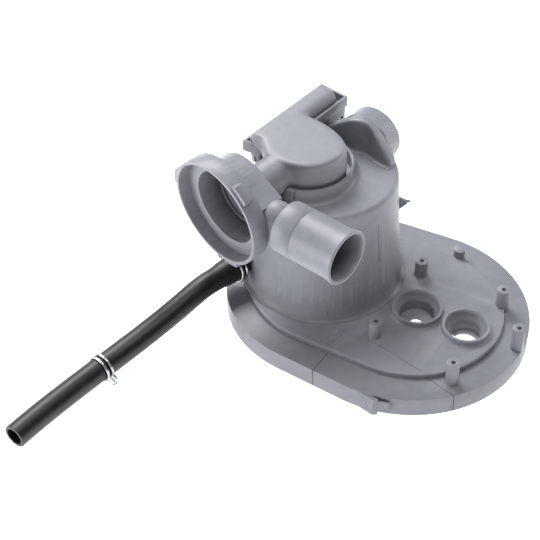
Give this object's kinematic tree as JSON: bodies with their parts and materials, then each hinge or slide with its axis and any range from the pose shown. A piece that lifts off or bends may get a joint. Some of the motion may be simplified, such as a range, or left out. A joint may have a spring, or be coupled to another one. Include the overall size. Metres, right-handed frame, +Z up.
{
  "type": "dishwasher sump assembly",
  "caption": "Grey moulded dishwasher sump: domed well with pump socket, outlet tube and duct on an oval base plate, with a black drain hose held by wire clamps.",
  "frame": {"origin": "axis of the filter seat, the round opening under the well, at the plane of the skirt's rim", "axes": "+Z up from the rim through the well, in the pose of the picture; +X along the base, from the well to the two cups; +Y to the back, away from the pump socket"},
  "size_m": [0.2842, 0.3391, 0.1679],
  "materials": {
    "grey_moulding": "matte moulded polypropylene",
    "dark_moulding": "matte moulded polypropylene",
    "black_rubber": "satin rubber",
    "wire_steel": "bright zinc plated spring wire",
    "pin_steel": "drawn stainless steel"
  },
  "bodies": {
    "base": {"base_plate": "grey_moulding", "sump_well": "grey_moulding", "pump_housing": "grey_moulding", "volute_back": "grey_moulding", "duct_cover": "grey_moulding", "duct_tray": "grey_moulding", "outlet_elbow": "grey_moulding", "outlet_tube": "grey_moulding", "hood_tube": "grey_moulding", "ring_latch": "grey_moulding", "hook_bracket": "grey_moulding", "drain_spigot": "dark_moulding", "valve_seat": "dark_moulding", "valve_pin": "pin_steel", "drain_hose": "black_rubber", "hose_clamp_near": "wire_steel", "hose_clamp_far": "wire_steel", "duct_seal": "black_rubber", "tub_gasket": "black_rubber"},
    "flap": {"valve_flap": "black_rubber"}
  },
  "joints": [
    {"name": "flap_hinge", "type": "hinge", "parent": "base", "child": "flap", "pos_m": [-0.03671, -0.00613, 0.0419], "axis": [-0.9537, 0.3007, 0], "range_deg": [0, 65]}
  ]
}
